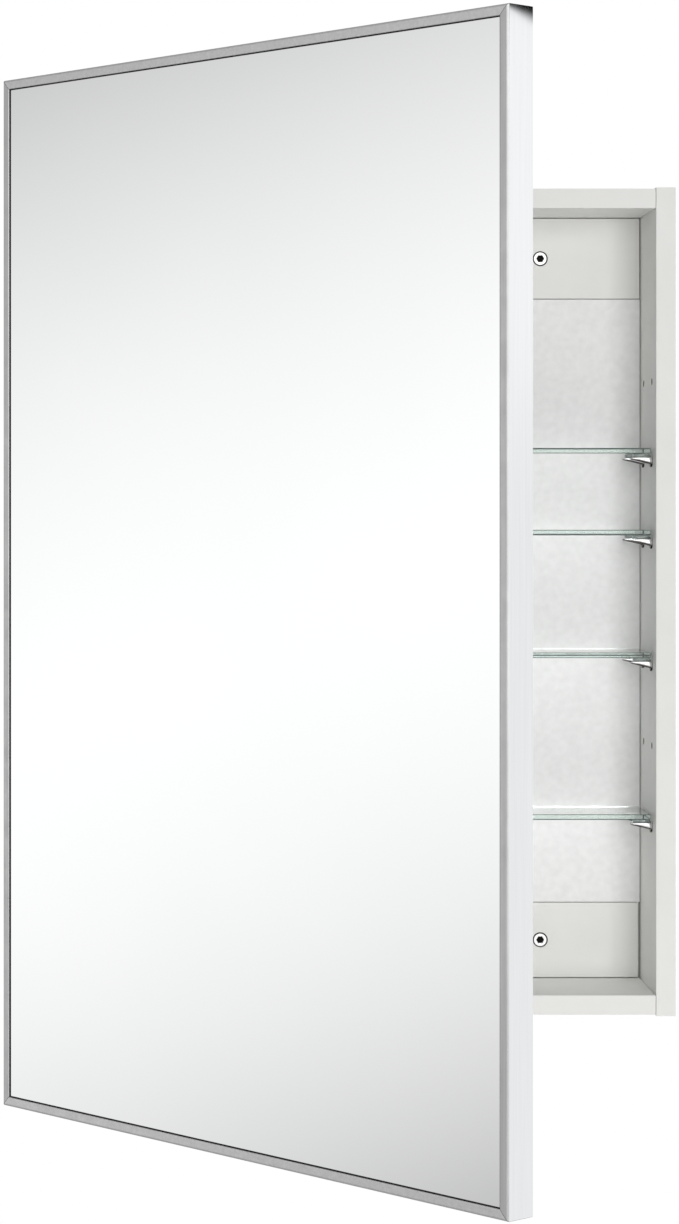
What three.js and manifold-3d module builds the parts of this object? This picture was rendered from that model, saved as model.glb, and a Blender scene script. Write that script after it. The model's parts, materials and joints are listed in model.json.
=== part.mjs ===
// Medicine cabinet with a mirror door: a shallow board carcass with glass shelves
// and a framed mirror door on two one-pin cup hinges.
// Millimetres. +Z is up, +Y points into the wall, -Y faces the room.
// The origin is the centre of the cabinet's rear face.
import * as THREE from 'three';
import { mergeVertices } from 'three/addons/utils/BufferGeometryUtils.js';
import Module from 'manifold-3d';

const wasm = await Module();
wasm.setup();

// Carcass
const BODY_WIDTH = 477;
const BODY_HEIGHT = 611;
const BODY_DEPTH = 98;
const BOARD = 14.3;
const BACK_JOINT_GAP = 0.5;
const RAIL_EDGE_GAP = 0.6;
const END_PANEL_GAP = 0.3;
const SIDE_STANDS_PROUD = 1;
const UPPER_RAIL_REACH = 61.8;
const LOWER_RAIL_REACH = 57.6;
const UPPER_RAIL_END_GAP = 0.75;
const LOWER_RAIL_END_GAP = 2;

// Shelves and their supports
const HOLE_HEIGHTS = [163, 103.8, 43, -48, -108, -168];
const SHELF_HOLE_HEIGHTS = [103.8, 43, -48, -168];
const FRONT_HOLE_SETBACK = 23;
const REAR_HOLE_SETBACK = 66;
const HOLE_RADIUS = 2.6;
const HOLE_DEPTH = 10;
const SHELF_THICKNESS = 4;
const SHELF_DEPTH = 61;
const SHELF_SETBACK = 14;
const SHELF_SIDE_GAP = 2;
const SHELF_ABOVE_HOLE = 5.75;
const SUPPORT_PIN_RADIUS = 2.3;
const SUPPORT_PIN_LENGTH = 8;
const SUPPORT_FLANGE_RADIUS = 4.5;
const SUPPORT_FLANGE_THICKNESS = 1.5;
const SUPPORT_REACH = 16.5;
const SUPPORT_WIDTH = 7;
const SUPPORT_ARM_TOP = 2.9;
const SUPPORT_ARM_ROOT = -2.2;
const SUPPORT_ARM_TIP = 1.5;
const SUPPORT_PAD_TOP = 5.5;
const SUPPORT_PAD_LENGTH = 12;

// Screws
const RAIL_SCREW = { head: 5.5, shank: 2.25, cone: 3, length: 13.8, socket: 2.9, socketDepth: 2 };
const RAIL_SCREW_FROM_SIDE = 76.5;
const CARCASS_SCREW = { head: 4.5, shank: 2.25, cone: 2.5, length: 42, socket: 2.2, socketDepth: 1.8 };
const CARCASS_SCREW_SETBACKS = [20, 78];
const BORE_CLEARANCE = 0.3;

// Door
const DOOR_WIDTH = 500;
const DOOR_HEIGHT = 750;
const DOOR_THICKNESS = 22.8;
const DOOR_RISE = 7;
const DOOR_GAP = 3.8;
const DOOR_OPEN_DEGREES = 48.2;
const LIP_WIDTH = 7;
const LIP_THICKNESS = 0.9;
const FRAME_WALL = 1.8;
const FRAME_OUTER_ROUND = 1.7;
const LIP_INNER_ROUND = 0.7;
const MITRE_SETBACK = 0.2;
const FIT_GAP = 0.3;
const MIRROR_THICKNESS = 4;
const MIRROR_EDGE_GAP = 0.4;
const BACKING_THICKNESS = 16;
const BACKING_EDGE_GAP = 0.5;

// Hinges
const HINGE_HEIGHTS = { upper: 230, lower: -230 };
const PIVOT_FROM_DOOR_EDGE = 8.8;
const PIVOT_FROM_DOOR_BACK = 10;
const CUP_FROM_DOOR_EDGE = 21.5;
const CUP_RADIUS = 17.5;
const CUP_WALL = 1;
const CUP_DEPTH = 14;
const FLANGE_LENGTH = 62;
const FLANGE_WIDTH = 24;
const FLANGE_OFFSET = 7.5;
const FLANGE_THICKNESS = 1.5;
const HINGE_PIN_RADIUS = 1.25;
const HINGE_PIN_LENGTH = 16.5;
const EYE_RADIUS = 2.6;
const EYE_BORE = 1.55;
const NECK_THICKNESS = 2;
const NECK_WIDTH = 10;
const NECK_REACH = 23;
const ARM_WIDTH = 13;
const ARM_HEIGHT = 9.2;
const ARM_SHEET = 1.5;
const ARM_FRONT_SETBACK = 6;
const ARM_LENGTH = 54;
const PLATE_SETBACK = 37;
const PLATE_THICKNESS = 2;
const PLATE_WING_HEIGHT = 48;
const PLATE_WING_DEPTH = 16;
const PLATE_LENGTH = 40;
const PLATE_BLOCK_WIDTH = 9;
const PLATE_BLOCK_LENGTH = 34;
const PLATE_BLOCK_RISE = 6.5;

// Bumpers
const BUMPER_RADIUS = 5;
const BUMPER_FROM_DOOR_EDGE = 19;
const BUMPER_HEIGHTS = { upper: 220, lower: -220 };

// Places worked out from the sizes above
const HALF_WIDTH = BODY_WIDTH / 2;
const HALF_HEIGHT = BODY_HEIGHT / 2;
const INNER_X = HALF_WIDTH - BOARD;
const FRONT_Y = -BODY_DEPTH;
const PANEL_OUTER_Z = HALF_HEIGHT - SIDE_STANDS_PROUD;
const INNER_Z = PANEL_OUTER_Z - BOARD;
const RAIL_FRONT_Y = -BOARD;
const DOOR_LEFT = -DOOR_WIDTH / 2;
const DOOR_BACK_Y = FRONT_Y - DOOR_GAP;
const DOOR_FRONT_Y = DOOR_BACK_Y - DOOR_THICKNESS;
const MIRROR_FRONT_Y = DOOR_FRONT_Y + LIP_THICKNESS + FIT_GAP;
const BACKING_FRONT_Y = MIRROR_FRONT_Y + MIRROR_THICKNESS + FIT_GAP;
const BACKING_BACK_Y = BACKING_FRONT_Y + BACKING_THICKNESS;
const CUP_X = DOOR_LEFT + CUP_FROM_DOOR_EDGE;
const PIVOT = new THREE.Vector3(DOOR_LEFT + PIVOT_FROM_DOOR_EDGE, DOOR_BACK_Y - PIVOT_FROM_DOOR_BACK, 0);

// Finishes
const finish = (color, roughness, metalness) => ({ color, roughness, metalness });
const LAMINATE = finish(0xdcdbd7, 0.55, 0);
const BACK_BOARD = finish(0xe4e4e3, 0.6, 0);
const GLASS = finish(0xccd9d5, 0.08, 0);
const MIRROR = finish(0xf0f2f4, 0.03, 1);
const POLISHED_FRAME = finish(0xb4b6b8, 0.15, 1);
const CHROME = finish(0xc8cacc, 0.12, 1);
const NICKEL = finish(0xb8b9ba, 0.3, 1);
const DOOR_BOARD = finish(0xd8d7d3, 0.6, 0);
const RUBBER = finish(0xd9dcdc, 0.6, 0);

// Turns a closed geometry into a manifold-3d solid.
function solidOf(geometry) {
  const bare = geometry.clone();
  bare.deleteAttribute('normal');
  bare.deleteAttribute('uv');
  const merged = mergeVertices(bare);
  const mesh = new wasm.Mesh({
    numProp: 3,
    vertProperties: new Float32Array(merged.attributes.position.array),
    triVerts: new Uint32Array(merged.index.array),
  });
  return new wasm.Manifold(mesh);
}

// Turns a manifold-3d solid back into a geometry.
function geometryOf(solid) {
  const mesh = solid.getMesh();
  const geometry = new THREE.BufferGeometry();
  geometry.setAttribute('position', new THREE.BufferAttribute(mesh.vertProperties, 3));
  geometry.setIndex(new THREE.BufferAttribute(mesh.triVerts, 1));
  geometry.computeVertexNormals();
  return geometry;
}

function cut(geometry, cutters) {
  return geometryOf(cutters.reduce((solid, cutter) => solid.subtract(solidOf(cutter)), solidOf(geometry)));
}

function join(geometries) {
  const [first, ...others] = geometries.map(solidOf);
  return geometryOf(others.reduce((solid, other) => solid.add(other), first));
}

function named(name, geometry, look) {
  const material = new THREE.MeshStandardMaterial(look);
  material.name = name;
  const mesh = new THREE.Mesh(geometry, material);
  mesh.name = name;
  return mesh;
}

// A box given by its lowest and highest corners.
function boxBetween([x0, y0, z0], [x1, y1, z1]) {
  const box = new THREE.BoxGeometry(x1 - x0, y1 - y0, z1 - z0);
  box.translate((x0 + x1) / 2, (y0 + y1) / 2, (z0 + z1) / 2);
  return box;
}

// A lathe profile of [radius, height] pairs turned about +Z.
function turned(profile, segments) {
  const points = profile.map(([radius, height]) => new THREE.Vector2(radius, height));
  const lathe = new THREE.LatheGeometry(points, segments);
  lathe.rotateX(Math.PI / 2);
  return lathe;
}

// A countersunk screw along -Z with the flat of its head at z = 0.
function screwGeometry({ head, shank, cone, length, socket, socketDepth }) {
  const tip = 2;
  const body = turned([
    [0, -length],
    [shank * 0.4, -length],
    [shank, -length + tip],
    [shank, -cone],
    [head, -0.4],
    [head, 0],
    [0, 0],
  ], 20);
  const recess = new THREE.CylinderGeometry(socket, socket, socketDepth * 2, 6);
  recess.rotateX(Math.PI / 2);
  return cut(body, [recess]);
}

// The hole that a countersunk screw needs, with clearance all round.
function screwBore({ head, shank, cone, length }) {
  const above = 1;
  return turned([
    [0, -length - 1],
    [shank + BORE_CLEARANCE, -length - 1],
    [shank + BORE_CLEARANCE, -cone - BORE_CLEARANCE],
    [head + BORE_CLEARANCE, -0.4 - BORE_CLEARANCE],
    [head + BORE_CLEARANCE, above],
    [0, above],
  ], 20);
}

// Points a geometry made along Z so that +Z becomes the sideways direction, 1 right or -1 left.
function faceSideways(geometry, side) {
  geometry.rotateY(side * Math.PI / 2);
  return geometry;
}

function carcassScrewPlaces(side) {
  const places = [];
  for (const [end, z] of [['top', PANEL_OUTER_Z - BOARD / 2], ['bottom', -PANEL_OUTER_Z + BOARD / 2]]) {
    CARCASS_SCREW_SETBACKS.forEach((setback, index) => {
      const where = ['front', 'rear'][index];
      places.push({ end, where, x: side * HALF_WIDTH, y: FRONT_Y + setback, z });
    });
  }
  return places;
}

function carcassBores(side) {
  return carcassScrewPlaces(side).map(({ x, y, z }) => {
    const bore = faceSideways(screwBore(CARCASS_SCREW), side);
    bore.translate(x, y, z);
    return bore;
  });
}

function sidePanel(name, side) {
  const inner = side * INNER_X;
  const outer = side * HALF_WIDTH;
  const board = boxBetween(
    [Math.min(inner, outer), FRONT_Y, -HALF_HEIGHT],
    [Math.max(inner, outer), 0, HALF_HEIGHT],
  );
  const cutters = carcassBores(side);
  for (const z of HOLE_HEIGHTS) {
    for (const setback of [FRONT_HOLE_SETBACK, REAR_HOLE_SETBACK]) {
      const hole = new THREE.CylinderGeometry(HOLE_RADIUS, HOLE_RADIUS, HOLE_DEPTH * 2, 20);
      hole.rotateZ(Math.PI / 2);
      hole.translate(inner, FRONT_Y + setback, z);
      cutters.push(hole);
    }
  }
  return named(name, cut(board, cutters), LAMINATE);
}

function endPanel(name, side) {
  const outer = side * PANEL_OUTER_Z;
  const inner = side * INNER_Z;
  const board = boxBetween(
    [-INNER_X + END_PANEL_GAP, FRONT_Y, Math.min(inner, outer)],
    [INNER_X - END_PANEL_GAP, 0, Math.max(inner, outer)],
  );
  return named(name, cut(board, [...carcassBores(-1), ...carcassBores(1)]), LAMINATE);
}

function railScrewPlaces() {
  const upper = INNER_Z - (RAIL_EDGE_GAP + UPPER_RAIL_REACH) / 2;
  const lower = (RAIL_EDGE_GAP + LOWER_RAIL_REACH) / 2 - INNER_Z;
  const x = INNER_X - RAIL_SCREW_FROM_SIDE;
  return [
    { name: 'upper_rail_screw_left', x: -x, z: upper },
    { name: 'upper_rail_screw_right', x, z: upper },
    { name: 'lower_rail_screw_left', x: -x, z: lower },
    { name: 'lower_rail_screw_right', x, z: lower },
  ];
}

function railBores() {
  return railScrewPlaces().map(({ x, z }) => {
    const bore = screwBore(RAIL_SCREW);
    bore.rotateX(Math.PI / 2);
    bore.translate(x, RAIL_FRONT_Y, z);
    return bore;
  });
}

// The back stands between the two rails, level with them at the front and at the wall.
function backPanel() {
  const reach = INNER_X - BACK_JOINT_GAP;
  const low = [-reach, RAIL_FRONT_Y, LOWER_RAIL_REACH + BACK_JOINT_GAP - INNER_Z];
  const high = [reach, 0, INNER_Z - UPPER_RAIL_REACH - BACK_JOINT_GAP];
  return named('back_panel', boxBetween(low, high), BACK_BOARD);
}

function mountingRail(name, side, reach, endGap) {
  const outer = side * (INNER_Z - RAIL_EDGE_GAP);
  const inner = side * (INNER_Z - reach);
  const strip = boxBetween(
    [-INNER_X + endGap, RAIL_FRONT_Y, Math.min(inner, outer)],
    [INNER_X - endGap, 0, Math.max(inner, outer)],
  );
  return named(name, cut(strip, railBores()), LAMINATE);
}

function railScrews() {
  return railScrewPlaces().map(({ name, x, z }) => {
    const geometry = screwGeometry(RAIL_SCREW);
    geometry.rotateX(Math.PI / 2);
    const screw = named(name, geometry, NICKEL);
    screw.position.set(x, RAIL_FRONT_Y, z);
    return screw;
  });
}

function carcassScrews() {
  const screws = [];
  for (const [label, side] of [['left', -1], ['right', 1]]) {
    for (const { end, where, x, y, z } of carcassScrewPlaces(side)) {
      const geometry = faceSideways(screwGeometry(CARCASS_SCREW), side);
      const screw = named(`carcass_screw_${end}_${label}_${where}`, geometry, NICKEL);
      screw.position.set(x, y, z);
      screws.push(screw);
    }
  }
  return screws;
}

function glassShelf(index, holeHeight) {
  const bottom = holeHeight + SHELF_ABOVE_HOLE;
  const front = FRONT_Y + SHELF_SETBACK;
  const reach = INNER_X - SHELF_SIDE_GAP;
  const pane = boxBetween([-reach, front, bottom], [reach, front + SHELF_DEPTH, bottom + SHELF_THICKNESS]);
  return named(`glass_shelf_${index}`, pane, GLASS);
}

// A spoon support whose pin points along +X, with the panel face at x = 0 and the arm towards -X.
function supportGeometry() {
  const pin = new THREE.CylinderGeometry(SUPPORT_PIN_RADIUS, SUPPORT_PIN_RADIUS, SUPPORT_PIN_LENGTH + 1, 16);
  pin.rotateZ(Math.PI / 2);
  pin.translate((SUPPORT_PIN_LENGTH - 1) / 2, 0, 0);
  const flange = new THREE.CylinderGeometry(
    SUPPORT_FLANGE_RADIUS, SUPPORT_FLANGE_RADIUS, SUPPORT_FLANGE_THICKNESS, 24,
  );
  flange.rotateZ(Math.PI / 2);
  flange.translate(-SUPPORT_FLANGE_THICKNESS / 2, 0, 0);
  const wedge = new THREE.Shape();
  wedge.moveTo(-1, SUPPORT_ARM_ROOT);
  wedge.lineTo(-1, SUPPORT_ARM_TOP);
  wedge.lineTo(-SUPPORT_REACH, SUPPORT_ARM_TOP);
  wedge.lineTo(-SUPPORT_REACH, SUPPORT_ARM_TIP);
  wedge.closePath();
  const arm = new THREE.ExtrudeGeometry(wedge, { depth: SUPPORT_WIDTH, bevelEnabled: false });
  arm.rotateX(Math.PI / 2);
  arm.translate(0, SUPPORT_WIDTH / 2, 0);
  const pad = boxBetween(
    [-1 - SUPPORT_PAD_LENGTH, -SUPPORT_WIDTH / 2 + 0.5, SUPPORT_ARM_TOP - 0.5],
    [-1, SUPPORT_WIDTH / 2 - 0.5, SUPPORT_PAD_TOP],
  );
  return join([pin, flange, arm, pad]);
}

function shelfSupports() {
  const supports = [];
  const columns = [['front', FRONT_HOLE_SETBACK], ['rear', REAR_HOLE_SETBACK]];
  SHELF_HOLE_HEIGHTS.forEach((z, shelf) => {
    for (const [label, side] of [['left', -1], ['right', 1]]) {
      for (const [where, setback] of columns) {
        const name = `shelf_support_${shelf + 1}_${label}_${where}`;
        const support = named(name, supportGeometry(), CHROME);
        support.position.set(side * INNER_X, FRONT_Y + setback, z);
        support.rotation.z = side > 0 ? 0 : Math.PI;
        supports.push(support);
      }
    }
  });
  return supports;
}

// The plate screwed to the inner face of the left side panel.
function hingePlate(name, z) {
  const face = -INNER_X;
  const y = FRONT_Y + PLATE_SETBACK;
  const base = face + PLATE_THICKNESS;
  const wings = boxBetween(
    [face, y - PLATE_WING_DEPTH / 2, -PLATE_WING_HEIGHT / 2],
    [base, y + PLATE_WING_DEPTH / 2, PLATE_WING_HEIGHT / 2],
  );
  const spine = boxBetween(
    [face, y - PLATE_LENGTH / 2, -ARM_WIDTH / 2],
    [base, y + PLATE_LENGTH / 2, ARM_WIDTH / 2],
  );
  const block = boxBetween(
    [base - 0.5, y - PLATE_BLOCK_LENGTH / 2, -PLATE_BLOCK_WIDTH / 2],
    [base + PLATE_BLOCK_RISE, y + PLATE_BLOCK_LENGTH / 2, PLATE_BLOCK_WIDTH / 2],
  );
  const plate = named(name, join([wings, spine, block]), NICKEL);
  plate.position.z = z;
  return plate;
}

// The channel that clips over the plate, with a neck that hooks into the cup and ends in an eye.
function hingeArm(name, z) {
  const foot = -INNER_X + PLATE_THICKNESS + FIT_GAP;
  const crown = foot + ARM_HEIGHT;
  const front = FRONT_Y + ARM_FRONT_SETBACK;
  const rear = front + ARM_LENGTH;
  const half = ARM_WIDTH / 2;
  const channel = boxBetween([foot, front, -half], [crown, rear, half]);
  const hollow = boxBetween(
    [foot - 1, front + ARM_SHEET, -half + ARM_SHEET],
    [crown - ARM_SHEET, rear + 1, half - ARM_SHEET],
  );
  const thin = NECK_THICKNESS / 2;
  const knee = PIVOT.x + NECK_REACH;
  const bendOutside = 4;
  const bendInside = bendOutside - NECK_THICKNESS;
  const bendX = knee + thin - bendOutside;
  const bendY = PIVOT.y - thin + bendOutside;
  const outline = new THREE.Shape();
  outline.moveTo(PIVOT.x, PIVOT.y - thin);
  outline.lineTo(bendX, PIVOT.y - thin);
  outline.absarc(bendX, bendY, bendOutside, -Math.PI / 2, 0, false);
  outline.lineTo(knee + thin, front + 1);
  outline.lineTo(knee - thin, front + 1);
  outline.lineTo(knee - thin, PIVOT.y + thin + bendInside);
  outline.absarc(bendX, bendY, bendInside, 0, -Math.PI / 2, true);
  outline.lineTo(PIVOT.x, PIVOT.y + thin);
  outline.closePath();
  const across = { depth: NECK_WIDTH, bevelEnabled: false, curveSegments: 6 };
  const neck = new THREE.ExtrudeGeometry(outline, across);
  neck.translate(0, 0, -NECK_WIDTH / 2);
  const eye = new THREE.CylinderGeometry(EYE_RADIUS, EYE_RADIUS, NECK_WIDTH, 24);
  const bore = new THREE.CylinderGeometry(EYE_BORE, EYE_BORE, NECK_WIDTH + 2, 24);
  for (const round of [eye, bore]) {
    round.rotateX(Math.PI / 2);
    round.translate(PIVOT.x, PIVOT.y, 0);
  }
  const arm = named(name, cut(join([cut(channel, [hollow]), neck, eye]), [bore]), NICKEL);
  arm.position.z = z;
  return arm;
}

// The pressed cup with its screw flange, set into the back of the door.
function hingeCup(name, z) {
  const inner = CUP_RADIUS - CUP_WALL;
  const cup = turned([
    [0, -CUP_DEPTH],
    [CUP_RADIUS - 1, -CUP_DEPTH],
    [CUP_RADIUS, -CUP_DEPTH + 1],
    [CUP_RADIUS, FLANGE_THICKNESS / 2],
    [inner, FLANGE_THICKNESS / 2],
    [inner, -CUP_DEPTH + CUP_WALL],
    [0, -CUP_DEPTH + CUP_WALL],
  ], 40);
  const left = FLANGE_OFFSET - FLANGE_WIDTH / 2;
  const right = FLANGE_OFFSET + FLANGE_WIDTH / 2;
  const top = FLANGE_LENGTH / 2;
  const corner = 4;
  const outline = new THREE.Shape();
  outline.moveTo(left + corner, -top);
  outline.lineTo(right - corner, -top);
  outline.absarc(right - corner, -top + corner, corner, -Math.PI / 2, 0, false);
  outline.lineTo(right, top - corner);
  outline.absarc(right - corner, top - corner, corner, 0, Math.PI / 2, false);
  outline.lineTo(left + corner, top);
  outline.absarc(left + corner, top - corner, corner, Math.PI / 2, Math.PI, false);
  outline.lineTo(left, -top + corner);
  outline.absarc(left + corner, -top + corner, corner, Math.PI, Math.PI * 1.5, false);
  const flange = new THREE.ExtrudeGeometry(outline, {
    depth: FLANGE_THICKNESS, bevelEnabled: false, curveSegments: 5,
  });
  const mouth = new THREE.CylinderGeometry(inner, inner, FLANGE_THICKNESS * 4, 40);
  mouth.rotateX(Math.PI / 2);
  const geometry = join([cup, cut(flange, [mouth])]);
  geometry.rotateX(-Math.PI / 2);
  const mesh = named(name, geometry, NICKEL);
  mesh.position.set(CUP_X, BACKING_BACK_Y + FIT_GAP / 2, z);
  return mesh;
}

function hingePin(name, z) {
  const geometry = new THREE.CylinderGeometry(HINGE_PIN_RADIUS, HINGE_PIN_RADIUS, HINGE_PIN_LENGTH, 24);
  geometry.rotateX(Math.PI / 2);
  const pin = named(name, geometry, NICKEL);
  pin.position.set(PIVOT.x, PIVOT.y, z);
  return pin;
}

// One mitred bar of the door frame. It is made lying along X, as the bottom bar, then turned.
function frameBar(name, length, distance, turn) {
  const profile = new THREE.Shape();
  profile.moveTo(FRAME_OUTER_ROUND, 0);
  profile.lineTo(LIP_WIDTH - LIP_INNER_ROUND, 0);
  const inset = LIP_WIDTH - LIP_INNER_ROUND;
  profile.absarc(inset, LIP_INNER_ROUND, LIP_INNER_ROUND, 1.5 * Math.PI, 2 * Math.PI, false);
  profile.lineTo(LIP_WIDTH, LIP_THICKNESS);
  profile.lineTo(FRAME_WALL, LIP_THICKNESS);
  profile.lineTo(FRAME_WALL, DOOR_THICKNESS);
  profile.lineTo(0, DOOR_THICKNESS);
  profile.lineTo(0, FRAME_OUTER_ROUND);
  profile.absarc(FRAME_OUTER_ROUND, FRAME_OUTER_ROUND, FRAME_OUTER_ROUND, Math.PI, 1.5 * Math.PI, false);
  const bar = new THREE.ExtrudeGeometry(profile, { depth: length, bevelEnabled: false, curveSegments: 6 });
  const points = bar.attributes.position;
  for (let i = 0; i < points.count; i += 1) {
    const inward = points.getX(i);
    const depth = points.getY(i);
    const setback = inward + MITRE_SETBACK;
    const reach = length / 2 - setback;
    const along = points.getZ(i) > length / 2 ? -reach : reach;
    points.setXYZ(i, along, depth, inward);
  }
  bar.computeVertexNormals();
  bar.translate(0, 0, -distance);
  bar.rotateY(turn);
  bar.translate(0, DOOR_FRONT_Y, DOOR_RISE);
  return named(name, bar, POLISHED_FRAME);
}

function frameBars() {
  const acrossHalf = DOOR_WIDTH / 2;
  const upHalf = DOOR_HEIGHT / 2;
  return [
    frameBar('frame_bar_bottom', DOOR_WIDTH, upHalf, 0),
    frameBar('frame_bar_left', DOOR_HEIGHT, acrossHalf, Math.PI / 2),
    frameBar('frame_bar_top', DOOR_WIDTH, upHalf, Math.PI),
    frameBar('frame_bar_right', DOOR_HEIGHT, acrossHalf, -Math.PI / 2),
  ];
}

function mirrorGlass() {
  const inset = FRAME_WALL + MIRROR_EDGE_GAP;
  const halfWidth = DOOR_WIDTH / 2 - inset;
  const halfHeight = DOOR_HEIGHT / 2 - inset;
  const pane = boxBetween(
    [-halfWidth, MIRROR_FRONT_Y, DOOR_RISE - halfHeight],
    [halfWidth, MIRROR_FRONT_Y + MIRROR_THICKNESS, DOOR_RISE + halfHeight],
  );
  return named('mirror_glass', pane, MIRROR);
}

function backingBoard() {
  const inset = FRAME_WALL + BACKING_EDGE_GAP;
  const halfWidth = DOOR_WIDTH / 2 - inset;
  const halfHeight = DOOR_HEIGHT / 2 - inset;
  const board = boxBetween(
    [-halfWidth, BACKING_FRONT_Y, DOOR_RISE - halfHeight],
    [halfWidth, BACKING_BACK_Y, DOOR_RISE + halfHeight],
  );
  const bores = Object.values(HINGE_HEIGHTS).map((z) => {
    const depth = CUP_DEPTH + BORE_CLEARANCE;
    const radius = CUP_RADIUS + BORE_CLEARANCE;
    const bore = new THREE.CylinderGeometry(radius, radius, depth * 2, 48);
    bore.translate(CUP_X, BACKING_BACK_Y, z);
    return bore;
  });
  return named('door_backing_board', cut(board, bores), DOOR_BOARD);
}

// A soft stop on the back of the door that meets the front edge of the right side panel.
function bumper(name, z) {
  const back = BACKING_BACK_Y + FIT_GAP / 2;
  const thickness = FRONT_Y - back - FIT_GAP;
  const geometry = turned([
    [0, 0],
    [BUMPER_RADIUS, 0],
    [BUMPER_RADIUS, thickness - 1.5],
    [BUMPER_RADIUS - 1.5, thickness],
    [0, thickness],
  ], 24);
  geometry.rotateX(-Math.PI / 2);
  const mesh = named(name, geometry, RUBBER);
  mesh.position.set(-DOOR_LEFT - BUMPER_FROM_DOOR_EDGE, back, z);
  return mesh;
}

function carcass() {
  const group = new THREE.Group();
  group.add(
    sidePanel('side_panel_left', -1),
    sidePanel('side_panel_right', 1),
    endPanel('top_panel', 1),
    endPanel('bottom_panel', -1),
    backPanel(),
    mountingRail('upper_mounting_rail', 1, UPPER_RAIL_REACH, UPPER_RAIL_END_GAP),
    mountingRail('lower_mounting_rail', -1, LOWER_RAIL_REACH, LOWER_RAIL_END_GAP),
    ...railScrews(),
    ...carcassScrews(),
    ...SHELF_HOLE_HEIGHTS.map((z, index) => glassShelf(index + 1, z)),
    ...shelfSupports(),
  );
  for (const [label, z] of Object.entries(HINGE_HEIGHTS)) {
    group.add(hingePlate(`hinge_plate_${label}`, z), hingeArm(`hinge_arm_${label}`, z));
  }
  return group;
}

// The door is described closed, then turned about the hinge pins.
function door() {
  const closed = new THREE.Group();
  closed.add(mirrorGlass(), backingBoard(), ...frameBars());
  for (const [label, z] of Object.entries(HINGE_HEIGHTS)) {
    closed.add(hingeCup(`hinge_cup_${label}`, z), hingePin(`hinge_pin_${label}`, z));
  }
  for (const [label, z] of Object.entries(BUMPER_HEIGHTS)) {
    closed.add(bumper(`door_bumper_${label}`, z));
  }
  closed.position.set(-PIVOT.x, -PIVOT.y, 0);
  const swing = new THREE.Group();
  swing.add(closed);
  swing.position.copy(PIVOT);
  swing.rotation.z = THREE.MathUtils.degToRad(-DOOR_OPEN_DEGREES);
  return swing;
}

const cabinet = new THREE.Group();
cabinet.add(carcass(), door());

export default cabinet;
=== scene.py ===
"""Looks for the medicine cabinet with a mirror door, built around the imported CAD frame. Metres, +Z up."""
import json
import math

import bmesh
import bpy
from mathutils import Matrix, Vector

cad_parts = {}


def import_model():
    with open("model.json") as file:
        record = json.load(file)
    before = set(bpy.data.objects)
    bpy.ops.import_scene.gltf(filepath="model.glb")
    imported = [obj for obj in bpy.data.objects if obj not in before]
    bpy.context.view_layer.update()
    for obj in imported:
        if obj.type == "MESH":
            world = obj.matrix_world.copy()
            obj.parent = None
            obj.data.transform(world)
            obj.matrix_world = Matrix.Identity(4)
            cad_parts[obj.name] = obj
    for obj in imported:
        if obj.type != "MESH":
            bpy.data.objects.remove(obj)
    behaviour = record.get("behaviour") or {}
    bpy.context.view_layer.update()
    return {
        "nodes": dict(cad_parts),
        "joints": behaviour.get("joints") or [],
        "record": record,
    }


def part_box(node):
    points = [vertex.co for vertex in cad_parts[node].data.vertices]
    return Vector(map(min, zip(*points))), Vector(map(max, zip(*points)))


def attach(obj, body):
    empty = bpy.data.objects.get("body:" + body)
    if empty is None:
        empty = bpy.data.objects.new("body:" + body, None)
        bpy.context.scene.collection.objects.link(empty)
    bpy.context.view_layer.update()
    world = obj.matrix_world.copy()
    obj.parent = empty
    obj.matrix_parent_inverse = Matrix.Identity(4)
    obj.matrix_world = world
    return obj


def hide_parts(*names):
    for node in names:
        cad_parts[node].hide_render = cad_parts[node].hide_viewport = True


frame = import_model()

MM = 0.001

# ---------------------------------------------------------------- camera
# The camera stands left of the cabinet's centre and looks straight at the wall, so its lens is shifted.
SENSOR = 36.0
LENS = 93.4
CAMERA_LEFT_OF_CENTRE = 0.1151
CAMERA_BEFORE_FRONT = 2.341
CAMERA_ABOVE_CENTRE = 0.0824
SHIFT_X = 0.1172
SHIFT_Y = -0.0997

# ---------------------------------------------------------------- room
FLOOR_BELOW_CENTRE = 1.5
FLOOR_RADIUS = 4.0

# ---------------------------------------------------------------- places taken from the frame
SIDE_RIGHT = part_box("side_panel_right")
SIDE_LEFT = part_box("side_panel_left")
BODY_FRONT = SIDE_RIGHT[0].y
DOOR_JOINT = frame["joints"][0]
PIVOT = Vector(DOOR_JOINT["pos_m"])
OPEN_ANGLE = -math.radians(DOOR_JOINT["range_deg"][0])
TO_OPEN = Matrix.Translation(PIVOT) @ Matrix.Rotation(-OPEN_ANGLE, 4, "Z") @ Matrix.Translation(-PIVOT)
TO_CLOSED = TO_OPEN.inverted()

CABINET = "cabinet"
DOOR = "door"
BODIES = frame["record"]["behaviour"]["bodies"]


def closed_box(name):
    """A door node's lowest and highest corners with the door closed."""
    corners = [TO_CLOSED @ v.co for v in frame["nodes"][name].data.vertices]
    return Vector(map(min, zip(*corners))), Vector(map(max, zip(*corners)))


DOOR_FRONT = closed_box("frame_bar_left")[0].y


# ---------------------------------------------------------------- material helpers
# Where most of a noise's values lie. Colours and numbers are spread over this range.
NOISE_MIDDLE = (0.3, 0.7)


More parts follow.
